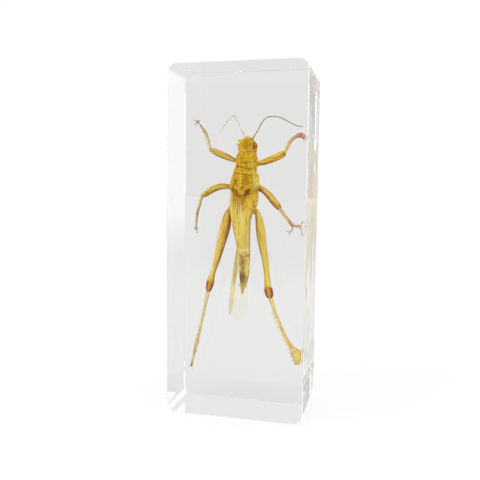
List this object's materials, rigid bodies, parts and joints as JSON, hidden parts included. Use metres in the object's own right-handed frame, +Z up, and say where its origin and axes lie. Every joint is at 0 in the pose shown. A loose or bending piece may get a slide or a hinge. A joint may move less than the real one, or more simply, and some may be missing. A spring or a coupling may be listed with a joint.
{
  "type": "insect in resin block",
  "caption": "Upright clear resin block with round edges, holding a whole grasshopper with spread legs, feelers and wings, seen from its back.",
  "frame": {"origin": "middle of the small end that the block stands on", "axes": "+Z up along the block, +X across the broad face, +Y from the front broad face, which the insect's back is turned to, to the rear one"},
  "size_m": [0.044, 0.028, 0.11],
  "materials": {
    "grasshopper": "satin",
    "resin": "polished"
  },
  "bodies": {
    "root": {"grasshopper": "grasshopper", "resin_front": "resin", "resin_back": "resin"}
  },
  "joints": []
}
